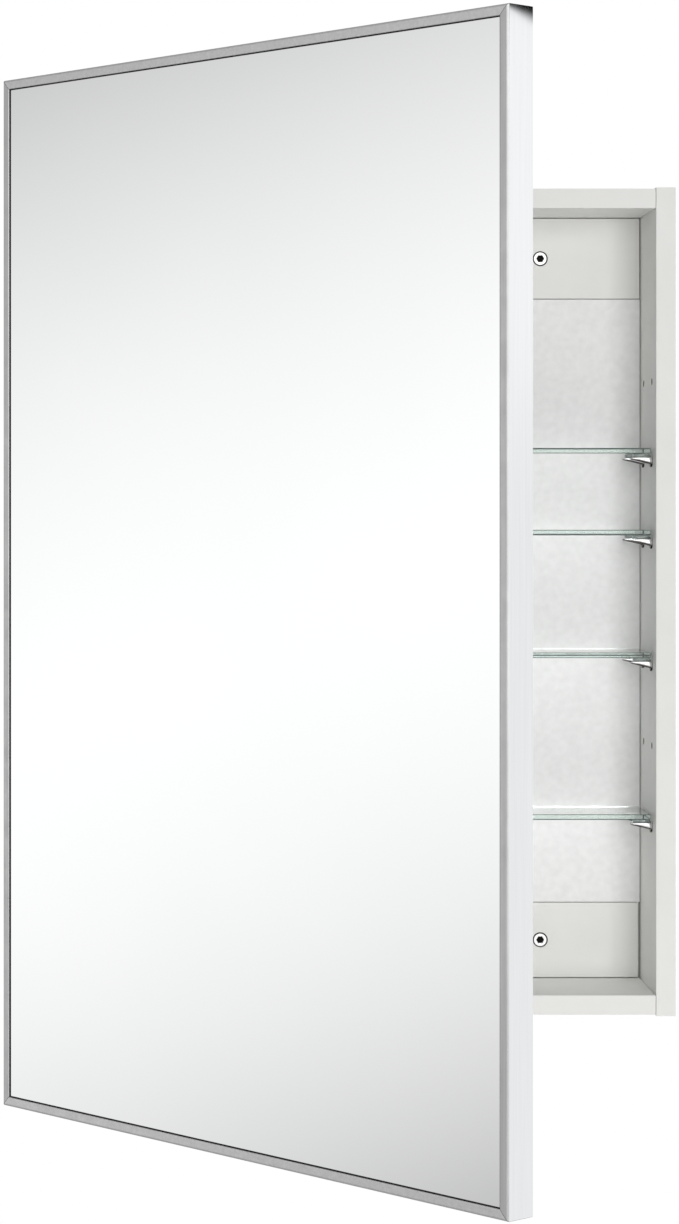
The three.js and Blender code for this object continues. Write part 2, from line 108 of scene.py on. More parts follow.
class Nodes:
    """A short way to build one material's node tree."""

    def __init__(self, name):
        self.material = bpy.data.materials.new(name)
        self.material.use_nodes = True
        self.tree = self.material.node_tree
        self.tree.nodes.clear()
        self.output = self.tree.nodes.new("ShaderNodeOutputMaterial")
        self.shader = self.tree.nodes.new("ShaderNodeBsdfPrincipled")
        self.link(self.shader.outputs["BSDF"], self.output.inputs["Surface"])
        self.coordinates = self.tree.nodes.new("ShaderNodeTexCoord").outputs["Object"]

    def link(self, source, target):
        self.tree.links.new(source, target)

    def feed(self, socket, source):
        self.link(source, self.shader.inputs[socket])

    def set(self, **values):
        for key, value in values.items():
            self.shader.inputs[key.replace("_", " ")].default_value = value

    def stretched(self, scale, turn=0.0):
        mapping = self.tree.nodes.new("ShaderNodeMapping")
        mapping.inputs["Scale"].default_value = scale
        mapping.inputs["Rotation"].default_value = (0, 0, turn)
        self.link(self.coordinates, mapping.inputs["Vector"])
        return mapping.outputs["Vector"]

    def noise(self, scale, detail, roughness=0.5, vector=None):
        noise = self.tree.nodes.new("ShaderNodeTexNoise")
        noise.inputs["Scale"].default_value = scale
        noise.inputs["Detail"].default_value = detail
        noise.inputs["Roughness"].default_value = roughness
        self.link(vector or self.coordinates, noise.inputs["Vector"])
        return noise.outputs["Fac"]

    def ramp(self, factor, low, high):
        """Stretches the middle of a noise over a range of colours."""
        ramp = self.tree.nodes.new("ShaderNodeValToRGB")
        first, last = ramp.color_ramp.elements
        first.position, last.position = NOISE_MIDDLE
        first.color, last.color = (*low, 1), (*high, 1)
        self.link(factor, ramp.inputs["Fac"])
        return ramp.outputs["Color"]

    def spread(self, factor, low, high):
        """Stretches the middle of a noise over a range of numbers."""
        return self.between(factor, *NOISE_MIDDLE, low, high)

    def depth_in_door(self):
        """How far behind the door's front a point lies, the same at every opening of the door."""
        dot = self.tree.nodes.new("ShaderNodeVectorMath")
        dot.operation = "DOT_PRODUCT"
        backwards = TO_OPEN.to_3x3() @ Vector((0, 1, 0))
        dot.inputs[1].default_value = backwards
        self.link(self.coordinates, dot.inputs[0])
        front = (TO_OPEN @ Vector((PIVOT.x, DOOR_FRONT, 0))).dot(backwards)
        return dot.outputs["Value"], front

    def between(self, factor, start, end, low, high):
        span = self.tree.nodes.new("ShaderNodeMapRange")
        for key, number in zip(("From Min", "From Max", "To Min", "To Max"), (start, end, low, high)):
            span.inputs[key].default_value = number
        self.link(factor, span.inputs["Value"])
        return span.outputs["Result"]

    def mixed(self, factor, first, second):
        mix = self.tree.nodes.new("ShaderNodeMix")
        mix.data_type = "RGBA"
        for socket, source in zip((mix.inputs[0], mix.inputs[6], mix.inputs[7]), (factor, first, second)):
            self.link(source, socket)
        return mix.outputs[2]

    def product(self, first, second):
        times = self.tree.nodes.new("ShaderNodeMath")
        times.operation = "MULTIPLY"
        self.link(first, times.inputs[0])
        self.link(second, times.inputs[1])
        return times.outputs[0]

    def bump(self, height, strength, distance):
        bump = self.tree.nodes.new("ShaderNodeBump")
        bump.inputs["Strength"].default_value = strength
        bump.inputs["Distance"].default_value = distance
        self.link(height, bump.inputs["Height"])
        self.link(bump.outputs["Normal"], self.shader.inputs["Normal"])


def laminate(name, dark, light, roughness, grain=28):
    """Melamine-faced board: a nearly even colour with a fine pressed texture."""
    look = Nodes(name)
    look.feed("Base Color", look.ramp(look.noise(grain, 4), dark, light))
    look.feed("Roughness", look.spread(look.noise(160, 3), roughness - 0.05, roughness + 0.06))
    look.bump(look.noise(1800, 3, 0.6), 0.12, 0.05 * MM)
    look.set(Specular_IOR_Level=0.4)
    return look.material


GLASS_TINT = (0.455, 0.56, 0.515, 1)
GLASS_DENSITY = 14.0


def shelf_glass():
    """Clear float glass that looks green through its long edge."""
    look = Nodes("shelf_glass")
    look.set(Base_Color=(0.97, 1.0, 0.99, 1), Transmission_Weight=1.0, IOR=1.5)
    look.feed("Roughness", look.spread(look.noise(60, 2), 0.0, 0.02))
    look.bump(look.noise(9, 2), 0.05, 0.2 * MM)
    absorption = look.tree.nodes.new("ShaderNodeVolumeAbsorption")
    absorption.inputs["Color"].default_value = GLASS_TINT
    absorption.inputs["Density"].default_value = GLASS_DENSITY
    look.link(absorption.outputs["Volume"], look.output.inputs["Volume"])
    return look.material


def painted_dark_arris():
    """The ground corner of a glass pane: matt and green, darkened to a dark green as painted shade along the
    glass's edges.
    """
    look = Nodes("painted_dark_arris")
    look.feed("Base Color", look.ramp(look.noise(500, 3), (0.10, 0.14, 0.12), (0.15, 0.20, 0.175)))
    look.feed("Roughness", look.spread(look.noise(700, 2), 0.35, 0.5))
    look.bump(look.noise(1500, 2), 0.1, 0.02 * MM)
    look.set(Specular_IOR_Level=0.2)
    return look.material


def mirror_silver():
    """Silvered glass with a very faint cleaning haze."""
    look = Nodes("mirror_silver")
    look.set(Metallic=1.0)
    look.feed("Base Color", look.ramp(look.noise(5, 2), (0.935, 0.945, 0.945), (0.95, 0.955, 0.955)))
    look.feed("Roughness", look.spread(look.noise(14, 4), 0.0, 0.018))
    return look.material


def drawn_metal(name, dark, light, roughness, stretch):
    """Metal with fine draw lines along one direction."""
    look = Nodes(name)
    lines = look.noise(700, 3, 0.6, look.stretched(stretch))
    look.set(Metallic=1.0)
    look.feed("Base Color", look.ramp(lines, dark, light))
    look.feed("Roughness", look.spread(look.noise(90, 3), roughness * 0.8, roughness * 1.25))
    look.bump(lines, 0.15, 0.02 * MM)
    return look.material


# How far behind the door's front the satin lip ends and the polished side starts
LIP_END = 0.5 * MM
SIDE_START = 1.6 * MM
LIP_ROUGHNESS = 0.34
SIDE_ROUGHNESS = 0.02


def frame_metal(name, lip_dark, lip_light, stretch, turn=0.0):
    """Door frame metal: a satin front lip, and polished outer sides. The lip's colour, set apart from the
    side's and per copy, is painted light and shade.
    """
    look = Nodes(name)
    lines = look.noise(500, 3, 0.6, look.stretched(stretch, turn))
    depth, front = look.depth_in_door()
    lip_end, side_start = front + LIP_END, front + SIDE_START
    side = look.between(depth, lip_end, side_start, 0.0, 1.0)
    lip_colour = look.ramp(lines, (lip_dark,) * 3, (lip_light,) * 3)
    side_colour = look.ramp(lines, (0.60, 0.61, 0.62), (0.625, 0.635, 0.645))
    look.set(Metallic=1.0)
    look.feed("Base Color", look.mixed(side, lip_colour, side_colour))
    worn = look.spread(look.noise(90, 3), 0.85, 1.2)
    polish = look.between(depth, lip_end, side_start, LIP_ROUGHNESS, SIDE_ROUGHNESS)
    look.feed("Roughness", look.product(polish, worn))
    look.bump(lines, 0.03, 0.004 * MM)
    return look.material


# The parts of a surface's direction over which painted shade gives way to chrome, coming from below and from
# the ends
UNDERSIDE_SHADE_FADE = (-0.5, -0.1)
END_SHADE_FADE = (0.55, 0.8)


def support_chrome():
    """Chromed casting, bright on top and in front. Underneath and at its ends it is painted nearly black:
    painted shade and painted dark reflection.
    """
    look = Nodes("support_chrome")
    split = look.tree.nodes.new("ShaderNodeSeparateXYZ")
    look.link(look.tree.nodes.new("ShaderNodeNewGeometry").outputs["Normal"], split.inputs[0])
    clear_of_underside_shade = look.between(split.outputs["Z"], *UNDERSIDE_SHADE_FADE, 0.0, 1.0)
    along = look.tree.nodes.new("ShaderNodeMath")
    along.operation = "ABSOLUTE"
    look.link(split.outputs["X"], along.inputs[0])
    clear_of_end_shade = look.between(along.outputs[0], *END_SHADE_FADE, 1.0, 0.0)
    # Painted shade: the casting's underside and ends are drawn nearly black.
    painted_shade_colour = look.ramp(look.noise(900, 3), (0.025, 0.020, 0.018), (0.06, 0.05, 0.046))
    bright = look.ramp(look.noise(260, 3), (0.84, 0.83, 0.83), (0.93, 0.92, 0.92))
    look.set(Metallic=1.0)
    look.feed("Base Color", look.mixed(look.product(clear_of_underside_shade, clear_of_end_shade), painted_shade_colour, bright))
    look.feed("Roughness", look.spread(look.noise(200, 3), 0.07, 0.16))
    look.bump(look.noise(700, 2), 0.1, 0.02 * MM)
    return look.material


def painted_dark_surface(name, dark, light, roughness):
    """A matt near-black surface that paints shade: in a screw's socket and the gap round its head, as the
    black bead at the mirror's edge, and inside the empty pin holes.
    """
    look = Nodes(name)
    look.feed("Base Color", look.ramp(look.noise(400, 3), dark, light))
    look.feed("Roughness", look.spread(look.noise(600, 2), roughness - 0.05, roughness + 0.1))
    look.bump(look.noise(1200, 2), 0.1, 0.02 * MM)
    look.set(Specular_IOR_Level=0.1)
    return look.material


def clear_plastic(name, dark, light, clearness):
    """Soft clear plastic, slightly cloudy."""
    look = Nodes(name)
    look.set(Transmission_Weight=clearness, IOR=1.46)
    look.feed("Base Color", look.ramp(look.noise(300, 2), dark, light))
    look.feed("Roughness", look.spread(look.noise(500, 3), 0.12, 0.25))
    look.bump(look.noise(900, 2), 0.1, 0.05 * MM)
    return look.material


LAMINATE = laminate("carcass_laminate", (0.83, 0.828, 0.805), (0.855, 0.853, 0.832), 0.45)
BACK_BOARD = laminate("back_board", (0.865, 0.865, 0.862), (0.93, 0.93, 0.927), 0.6, 190)
DOOR_BOARD = laminate("door_board", (0.82, 0.818, 0.80), (0.845, 0.843, 0.825), 0.5)
GLASS = shelf_glass()
PAINTED_DARK_ARRIS = painted_dark_arris()
MIRROR = mirror_silver()
BAR_ALONG = (0.02, 1.0, 1.0)
BAR_UPRIGHT = (1.0, 1.0, 0.02)
# One frame metal in two copies: the lip is drawn lighter on the top and bottom bars and darker on the
# upright bars, as painted light and shade.
FRAME_ALONG_PAINTED_LIGHT = frame_metal("frame_metal_along_painted_light", 0.60, 0.69, BAR_ALONG, OPEN_ANGLE)
FRAME_UPRIGHT_PAINTED_SHADE = frame_metal("frame_metal_upright_painted_shade", 0.50, 0.58, BAR_UPRIGHT)
CHROME = support_chrome()
# Painted shade inside screw sockets and in the gap round screw heads.
SOCKET_PAINTED_SHADE = painted_dark_surface("socket_painted_shade", (0.004, 0.004, 0.004), (0.012, 0.011, 0.011), 0.6)
# Near black: a painted shadow line between the mirror and the frame's lip.
SHADOW_LINE_BLACK = painted_dark_surface("painted_shadow_line", (0.006, 0.006, 0.007), (0.014, 0.014, 0.015), 0.45)
NICKEL = drawn_metal("nickel_steel", (0.66, 0.655, 0.64), (0.76, 0.755, 0.74), 0.24, (1.0, 1.0, 0.15))
ZINC = drawn_metal("screw_zinc", (0.82, 0.81, 0.80), (0.92, 0.91, 0.90), 0.2, (1.0, 1.0, 1.0))
PLASTIC = clear_plastic("clear_plastic", (0.72, 0.80, 0.76), (0.82, 0.88, 0.85), 0.85)
# Grey-green tint, darkened well below the clear bumpers' colour as painted shade where the pad sits between
# the glass and the support.
PAD_PAINTED_SHADE = clear_plastic("pad_plastic_painted_shade", (0.26, 0.31, 0.29), (0.42, 0.48, 0.45), 0.7)
# The bare board's brown, darkened to near black: painted shade inside the empty pin holes.
BARE_BOARD_PAINTED_SHADE = painted_dark_surface("bare_board_painted_shade", (0.02, 0.016, 0.012), (0.05, 0.04, 0.03), 0.85)

MATERIAL_OF_SLOT = {
    "carcass_laminate": LAMINATE,
    "back_board": BACK_BOARD,
    "door_board": DOOR_BOARD,
    "shelf_glass": GLASS,
    "mirror": MIRROR,
    "polished_frame": FRAME_ALONG_PAINTED_LIGHT,
    "chrome": CHROME,
    "nickel_steel": NICKEL,
    "clear_plastic": PLASTIC,
}


# ---------------------------------------------------------------- mesh helpers
def ring(radius, height, count, lobes=0.0):
    """A closed ring of points about +Z. lobes makes it wave in and out six times."""
    points = []
    for i in range(count):
        angle = math.tau * i / count
        reach = radius * (1 + lobes * math.cos(6 * angle))
        points.append(Vector((reach * math.cos(angle), reach * math.sin(angle), height)))
    return points


def loft(bm, rings):
    """Joins rings with the same number of points, and caps the ends."""
    rows = [[bm.verts.new(p) for p in points] for points in rings]
    count = len(rows[0])
    for lower, upper in zip(rows, rows[1:]):
        for i in range(count):
            j = (i + 1) % count
            bm.faces.new((lower[i], lower[j], upper[j], upper[i]))
    bm.faces.new(list(reversed(rows[0])))
    bm.faces.new(rows[-1])


def rounded_section(width, low, high, corner, at, steps=4, below=None):
    """A rounded rectangle in the YZ plane at x = at. below is the radius of its lower corners, if given."""
    points = []
    below = corner if below is None else below
    corners = (
        (width / 2 - corner, high - corner, 0, corner),
        (-width / 2 + corner, high - corner, 1, corner),
        (-width / 2 + below, low + below, 2, below),
        (width / 2 - below, low + below, 3, below),
    )
    for y, z, quarter, radius in corners:
        for step in range(steps + 1):
            angle = math.pi / 2 * (quarter + step / steps)
            points.append(Vector((at, y + radius * math.cos(angle), z + radius * math.sin(angle))))
    return points


SHARP_FROM = math.radians(35)


def piece(name, bm, body, material, place=None, replaced=()):
    """Turns a bmesh into a finished piece that rides on a body."""
    bmesh.ops.recalc_face_normals(bm, faces=bm.faces)
    mesh = bpy.data.meshes.new(name)
    if place is not None:
        bm.transform(place)
    bm.to_mesh(mesh)
    bm.free()
    mesh.materials.append(material)
    for polygon in mesh.polygons:
        polygon.use_smooth = True
    mesh.set_sharp_from_angle(angle=SHARP_FROM)
    obj = bpy.data.objects.new(name, mesh)
    bpy.context.scene.collection.objects.link(obj)
    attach(obj, body)
    if replaced:
        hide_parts(*replaced)
    return obj


WELD_DISTANCE = 0.005 * MM
BEVEL_FROM = math.radians(40)


def bevel(obj, width, segments):
    """Rounds an object's sharp edges. The CAD triangles come in separate, so they are joined first."""
    joined = obj.modifiers.new("joined", "WELD")
    joined.merge_threshold = WELD_DISTANCE
    modifier = obj.modifiers.new("edge_round", "BEVEL")
    modifier.width = width
    modifier.segments = segments
    modifier.limit_method = "ANGLE"
    modifier.angle_limit = BEVEL_FROM
    modifier.harden_normals = True


# ---------------------------------------------------------------- screws
SHANK_RADIUS = 2.2 * MM
THREAD_PITCH = 1.6 * MM
THREAD_DEPTH = 0.35 * MM
RAIL_SCREW_CONE = 3.0 * MM
RAIL_SCREW_RECESS = 2.6 * MM
RAIL_SCREW_RECESS_DEPTH = 2.2 * MM
CARCASS_SCREW_CONE = 2.5 * MM
CARCASS_SCREW_RECESS = 2.0 * MM
CARCASS_SCREW_RECESS_DEPTH = 1.8 * MM


def screw_mesh(head, shank, cone, length, recess, depth):
    """A countersunk screw along -Z with a hexagon socket and a threaded shank. Its second material is
    painted shade in the gap round the head and inside the socket.
    """
    count = 48
    bm = bmesh.new()
    rings = [ring(shank * 0.25, -length, count), ring(shank * 0.6, -length + 1.2 * MM, count)]
    turns = int((length - cone - 3 * MM) / THREAD_PITCH)
    for i in range(turns):
        z = -length + 2 * MM + i * THREAD_PITCH
        rings.append(ring(shank - THREAD_DEPTH, z, count))
        rings.append(ring(shank, z + THREAD_PITCH * 0.5, count))
    rings.append(ring(shank - THREAD_DEPTH, -cone - 0.4 * MM, count))
    rings.append(ring(shank, -cone, count))
    rings.append(ring(head + 0.1 * MM, -0.75 * MM, count))
    rings.append(ring(head - 0.5 * MM, -0.55 * MM, count))
    painted_shadow_rim = len(rings) - 1
    rings.append(ring(head - 0.55 * MM, -0.3 * MM, count))
    rings.append(ring(head - 0.85 * MM, 0, count))
    rings.append(ring(recess + 0.3 * MM, 0, count, 0.04))
    rings.append(ring(recess, -0.25 * MM, count, 0.07))
    painted_shade_socket = len(rings) - 1
    rings.append(ring(recess * 0.97, -depth * 0.75, count, 0.07))
    rings.append(ring(recess * 0.3, -depth, count, 0.02))
    loft(bm, rings)
    bm.faces.ensure_lookup_table()
    # Painted shade: the cone under the head's rim and the inside of the socket take the near-black second
    # material.
    for row in range(len(rings) - 1):
        if row == painted_shadow_rim - 1 or row >= painted_shade_socket:
            for face in bm.faces[row * count:(row + 1) * count]:
                face.material_index = 1
    bm.faces[-1].material_index = 1
    return bm


def screws():
    """The rail screws face the room and the carcass screws face outwards."""
    for name in BODIES[CABINET]:
        if "_screw_" not in name:
            continue
        low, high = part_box(name)
        middle = (low + high) / 2
        if "rail_screw" in name:
            head = (high.x - low.x) / 2
            length = high.y - low.y
            recess = (RAIL_SCREW_RECESS, RAIL_SCREW_RECESS_DEPTH)
            bm = screw_mesh(head, SHANK_RADIUS, RAIL_SCREW_CONE, length, *recess)
            place = Matrix.Translation((middle.x, low.y, middle.z)) @ Matrix.Rotation(math.pi / 2, 4, "X")
        else:
            side = 1 if middle.x > 0 else -1
            head = (high.y - low.y) / 2
            length = high.x - low.x
            recess = (CARCASS_SCREW_RECESS, CARCASS_SCREW_RECESS_DEPTH)
            bm = screw_mesh(head, SHANK_RADIUS, CARCASS_SCREW_CONE, length, *recess)
            end = Matrix.Translation((high.x if side > 0 else low.x, middle.y, middle.z))
            place = end @ Matrix.Rotation(side * math.pi / 2, 4, "Y")
        screw = piece(name + "_detail", bm, CABINET, ZINC, place, [name])
        # The second material is the near-black painted shade of the socket and the rim gap.
        screw.data.materials.append(SOCKET_PAINTED_SHADE)


# ---------------------------------------------------------------- shelf supports
PIN_RADIUS = 2.3 * MM
PIN_LENGTH = 8.0 * MM
FLANGE_RADIUS = 4.5 * MM
FLANGE_THICKNESS = 1.5 * MM
ARM_LENGTH = 16.5 * MM
HOLE_RADIUS = 2.6 * MM
HOLE_DEPTH = 10.0 * MM
SPARE_HOLE_HEIGHTS = (163 * MM, -108 * MM)
ARM_WIDTH = 7.0 * MM
ARM_TOP = 2.9 * MM
PAD_TOP = 5.6 * MM
PAD_LENGTH = 12.5 * MM


def support_metal(bm):
    """A pin, a round flange and a spoon arm that thins towards its tip. The panel face is x = 0."""
    turn = Matrix.Rotation(math.pi / 2, 4, "Y")
    soft = 0.35 * MM
    profile = (
        (PIN_RADIUS - 0.5 * MM, PIN_LENGTH),
        (PIN_RADIUS, PIN_LENGTH - 0.5 * MM),
        (PIN_RADIUS, 0.0),
        (FLANGE_RADIUS - soft, 0.0),
        (FLANGE_RADIUS, -soft),
        (FLANGE_RADIUS, -FLANGE_THICKNESS + soft),
        (FLANGE_RADIUS - soft, -FLANGE_THICKNESS),
    )
    loft(bm, [[turn @ p for p in ring(radius, height, 40)] for radius, height in profile])
    sections = []
    steps = 14
    for i in range(steps + 1):
        t = i / steps
        x = -FLANGE_THICKNESS + 0.3 * MM - t * (ARM_LENGTH - FLANGE_THICKNESS)
        bottom = (-2.3 + 3.6 * t ** 0.9) * MM
        top = ARM_TOP - 0.35 * MM * t * t
        width = ARM_WIDTH * (0.96 - 0.3 * t ** 3)
        if i == steps:
            bottom, top, width = bottom + 0.3 * MM, top - 0.3 * MM, width - 1.2 * MM
        corner = min((top - bottom) * 0.3, 0.6 * MM)
        below = min((top - bottom) * 0.6, 1.7 * MM)
        sections.append(rounded_section(width, bottom, top, corner, x, 5, below))
    loft(bm, sections)


def support_pad(bm):
    """The clear pad that the glass rests on, with a lip down the end of the arm."""
    sections = []
    start = -FLANGE_THICKNESS - 0.1 * MM
    stations = ((0.0, 0.5), (0.05, 0.1), (0.5, 0.0), (0.92, 0.1), (1.0, 0.7))
    for t, shrink in stations:
        x = start - t * PAD_LENGTH
        width = ARM_WIDTH - (1.2 + shrink) * MM
        bottom = ARM_TOP + 0.02 * MM + shrink * 0.5 * MM
        top = PAD_TOP - shrink * 0.6 * MM
        sections.append(rounded_section(width, bottom, top, 0.6 * MM, x))
    loft(bm, sections)


def shelf_supports():
    """Every support gets its shaped metal and its clear pad."""
    for name in BODIES[CABINET]:
        if not name.startswith("shelf_support_"):
            continue
        low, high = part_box(name)
        side = 1 if low.x > 0 else -1
        face = SIDE_RIGHT[0].x if side > 0 else SIDE_LEFT[1].x
        hole = Vector((face, (low.y + high.y) / 2, low.z + FLANGE_RADIUS))
        place = Matrix.Translation(hole)
        if side < 0:
            place = place @ Matrix.Rotation(math.pi, 4, "Z")
        metal = bmesh.new()
        support_metal(metal)
        piece(name + "_metal", metal, CABINET, CHROME, place, [name])
        pad = bmesh.new()
        support_pad(pad)
        piece(name + "_pad", pad, CABINET, PAD_PAINTED_SHADE, place)


def spare_holes():
    """The lining of the pin holes that hold no support: bare board, darkened to a near-black spot as painted
    shade inside the hole.
    """
    boxes = [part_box(name) for name in BODIES[CABINET] if name.startswith("shelf_support_")]
    columns = {round((low.y + high.y) / 2, 4) for low, high in boxes}
    outer, inner = HOLE_RADIUS - 0.04 * MM, HOLE_RADIUS - 0.3 * MM
    profile = (
        (inner, HOLE_DEPTH - 0.5 * MM),
        (inner, 0.25 * MM),
        (outer, 0.05 * MM),
        (outer, HOLE_DEPTH - 0.1 * MM),
    )
    for label, face, side in (("left", SIDE_LEFT[1].x, -1), ("right", SIDE_RIGHT[0].x, 1)):
        bm = bmesh.new()
        for z in SPARE_HOLE_HEIGHTS:
            for y in columns:
                place = Matrix.Translation((face, y, z)) @ Matrix.Rotation(side * math.pi / 2, 4, "Y")
                loft(bm, [[place @ p for p in ring(radius, height, 32)] for radius, height in profile])
        piece("spare_pin_holes_" + label, bm, CABINET, BARE_BOARD_PAINTED_SHADE)


# ---------------------------------------------------------------- hinge details
HINGE_SCREW_INSET = 7.5 * MM
CUP_SCREW_FROM_EDGE = 27.0 * MM
PLATE_FACE = 1.98 * MM
SUNK = 0.02 * MM
# Each screw's head radius, height and recess radius
CUP_SCREW = (3.6 * MM, 1.5 * MM, 1.6 * MM)
PLATE_SCREW = (3.6 * MM, 1.4 * MM, 1.6 * MM)
ARM_SCREW = (3.0 * MM, 1.0 * MM, 1.4 * MM)
# What each arm screw adjusts, and how far it stands from the arm's wall end
ARM_SCREW_PLACES = (("depth", 9.0 * MM), ("side", 24.0 * MM))


def small_screw(name, body, place, head, height, recess):
    """A low domed screw head along +Z with a six-lobe recess."""
    count = 36
    bm = bmesh.new()
    rings = [
        ring(head * 0.9, 0.0, count),
        ring(head, height * 0.25, count),
        ring(head * 0.93, height * 0.65, count),
        ring(head * 0.75, height * 0.92, count),
        ring(recess * 1.1, height, count, 0.05),
        ring(recess, height * 0.9, count, 0.1),
        ring(recess * 0.9, -height * 0.1, count, 0.1),
    ]
    loft(bm, rings)
    piece(name, bm, body, ZINC, place)


def hinge_screws():
    """Two screws hold each cup flange and each plate, and two adjust each arm."""
    for name in BODIES[DOOR]:
        if not name.startswith("hinge_cup_"):
            continue
        low, high = closed_box(name)
        for label, z in (("a", low.z + HINGE_SCREW_INSET), ("b", high.z - HINGE_SCREW_INSET)):
            spot = (low.x + CUP_SCREW_FROM_EDGE, high.y - SUNK, z)
            place = TO_OPEN @ Matrix.Translation(spot) @ Matrix.Rotation(-math.pi / 2, 4, "X")
            small_screw(f"{name}_screw_{label}", DOOR, place, *CUP_SCREW)
    for name in BODIES[CABINET]:
        if name.startswith("hinge_plate_"):
            low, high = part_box(name)
            for label, z in (("a", low.z + HINGE_SCREW_INSET), ("b", high.z - HINGE_SCREW_INSET)):
                spot = (low.x + PLATE_FACE, (low.y + high.y) / 2, z)
                place = Matrix.Translation(spot) @ Matrix.Rotation(math.pi / 2, 4, "Y")
                small_screw(f"{name}_screw_{label}", CABINET, place, *PLATE_SCREW)
        if name.startswith("hinge_arm_"):
            low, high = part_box(name)
            for label, setback in ARM_SCREW_PLACES:
                spot = (high.x - SUNK, high.y - setback, (low.z + high.z) / 2)
                place = Matrix.Translation(spot) @ Matrix.Rotation(math.pi / 2, 4, "Y")
                small_screw(f"{name}_{label}_screw", CABINET, place, *ARM_SCREW)


def bumpers():
    """Clear domed stops on the back of the door."""
    for name in BODIES[DOOR]:
        if not name.startswith("door_bumper_"):
            continue
        low, high = closed_box(name)
        centre = Vector(((low.x + high.x) / 2, low.y, (low.z + high.z) / 2))
        radius = (high.z - low.z) / 2
        height = high.y - low.y
        bm = bmesh.new()
        count = 48
        steps = 10
        rings = [ring(radius, 0.0, count)]
        for i in range(steps):
            angle = math.pi / 2 * i / steps
            rise = height * (0.3 + 0.7 * math.sin(angle))
            rings.append(ring(radius * math.cos(angle) ** 0.6, rise, count))
        loft(bm, rings)
        place = TO_OPEN @ Matrix.Translation(centre) @ Matrix.Rotation(-math.pi / 2, 4, "X")
        piece(name + "_dome", bm, DOOR, PLASTIC, place, [name])


LIP_WIDTH = 7.0 * MM


def painted_shadow_bead():
    """A thin black bead between the mirror and the frame's lip, all the way round: a painted shadow line
    where the lip meets the glass.
    """
    glass_front = closed_box("mirror_glass")[0].y
    frame_low, frame_high = closed_box("frame_bar_left")
    right = closed_box("frame_bar_right")[1].x
    left = frame_low.x
    low, high = frame_low.z, frame_high.z
    front = DOOR_FRONT + 0.4 * MM
    back = glass_front - 0.03 * MM
    tuck = 0.1 * MM
    show = 0.45 * MM
    profile = (
        (-tuck, back),
        (-tuck, front + 0.55 * MM),
        (0.02 * MM, front + 0.15 * MM),
        (show * 0.5, front),
        (show, front + 0.25 * MM),
        (show, back),
    )
    bm = bmesh.new()
    rings = []
    for x, z, sx, sz in ((left, low, 1, 1), (right, low, -1, 1), (right, high, -1, -1), (left, high, 1, -1)):
        insets = [(LIP_WIDTH + inward, y) for inward, y in profile]
        rings.append([Vector((x + sx * inset, y, z + sz * inset)) for inset, y in insets])
    rows = [[bm.verts.new(p) for p in points] for points in rings]
    for k in range(4):
        first, second = rows[k], rows[(k + 1) % 4]
        for i in range(len(profile)):
            j = (i + 1) % len(profile)
            bm.faces.new((first[i], first[j], second[j], second[i]))
    piece("painted_shadow_bead", bm, DOOR, SHADOW_LINE_BLACK, TO_OPEN)


# ---------------------------------------------------------------- CAD nodes that stay
# The width and the number of segments of each material's rounded edges
BEVEL_OF_SLOT = {
    "carcass_laminate": (0.3 * MM, 2),
    "back_board": (0.2 * MM, 1),
    "door_board": (0.4 * MM, 2),
    "shelf_glass": (0.5 * MM, 1),
    "mirror": (0.4 * MM, 2),
    "polished_frame": (0.45 * MM, 3),
    "nickel_steel": (0.25 * MM, 2),
}


def finish_cad_nodes():
    """Gives every CAD node its material and rounded edges, which on the shelves are matt ground glass
    painted dark as shade.
    """
    for row in frame["record"]["subparts"]:
        node = frame["nodes"][row["node"]]
        slot = row["material_slot"]
        material = MATERIAL_OF_SLOT[slot]
        if row["node"] in ("frame_bar_left", "frame_bar_right"):
            material = FRAME_UPRIGHT_PAINTED_SHADE
        node.data.materials.clear()
        node.data.materials.append(material)
        if slot in BEVEL_OF_SLOT and not node.hide_render:
            bevel(node, *BEVEL_OF_SLOT[slot])
        if slot == "shelf_glass":
            node.visible_shadow = False
            # The rounded shelf edges take the arris material: painted shade along the glass's edges.
            node.data.materials.append(PAINTED_DARK_ARRIS)
            node.modifiers["edge_round"].material = 1


# ---------------------------------------------------------------- room, light and camera
def floor():
    """A plain pale disc well below the cabinet."""
    bm = bmesh.new()
    bmesh.ops.create_circle(bm, cap_ends=True, radius=FLOOR_RADIUS, segments=96)
    mesh = bpy.data.meshes.new("floor")
    bm.to_mesh(mesh)
    bm.free()
    obj = bpy.data.objects.new("floor", mesh)
    obj.location.z = -FLOOR_BELOW_CENTRE
    bpy.context.scene.collection.objects.link(obj)
    look = Nodes("floor_paint")
    look.feed("Base Color", look.ramp(look.noise(3, 2), (0.88, 0.88, 0.88), (0.92, 0.92, 0.92)))
    look.set(Roughness=0.9, Emission_Color=(1, 1, 1, 1), Emission_Strength=0.3)
    mesh.materials.append(look.material)
    obj.visible_glossy = False


# What polished surfaces reflect. Places are parts of a unit direction, and levels are brightness.
LEFT_TO_RIGHT = (-0.3, 0.3)
FRONT_FADE = (-0.75, -0.45)
BEHIND_FADE = (0.3, 0.55)
MIRROR_BAND_SLANT = 0.395
MIRROR_BAND_OFFSET = 0.0117
MIRROR_BAND_PEAK = 1.061
MIRROR_BAND_CURVE = 1.887
MIRROR_BAND_FALL_ABOVE = 8.1
MIRROR_BAND_FALL_BELOW = 9.5
MIRROR_BAND_MIDDLE = (-0.005, 0.005)
MIRROR_BAND_LEAST = 0.5
RIGHT_LEVEL = 1.3
RIGHT_LEVEL_HIGH = 1.44
RIGHT_DARK_START = 0.1468
RIGHT_DARK_WIDTH = 0.0031
RIGHT_DARK_SPREAD = 0.45
RIGHT_DARK_SLANT = 0.759
RIGHT_DARK_SHIFT = 0.0107
RIGHT_DARK_TURN = (-0.003, 0.03)
RIGHT_RISE = (-0.01, 0.06)
RIGHT_BRIGHT_AGAIN = (0.2, 0.32)
FRONT_LEVEL = 1.6
FRONT_LOW_LEVEL = 0.7
FRONT_RISE = (-0.3, -0.05)
BEHIND_LEVEL = 0.45
AMBIENT = 0.225


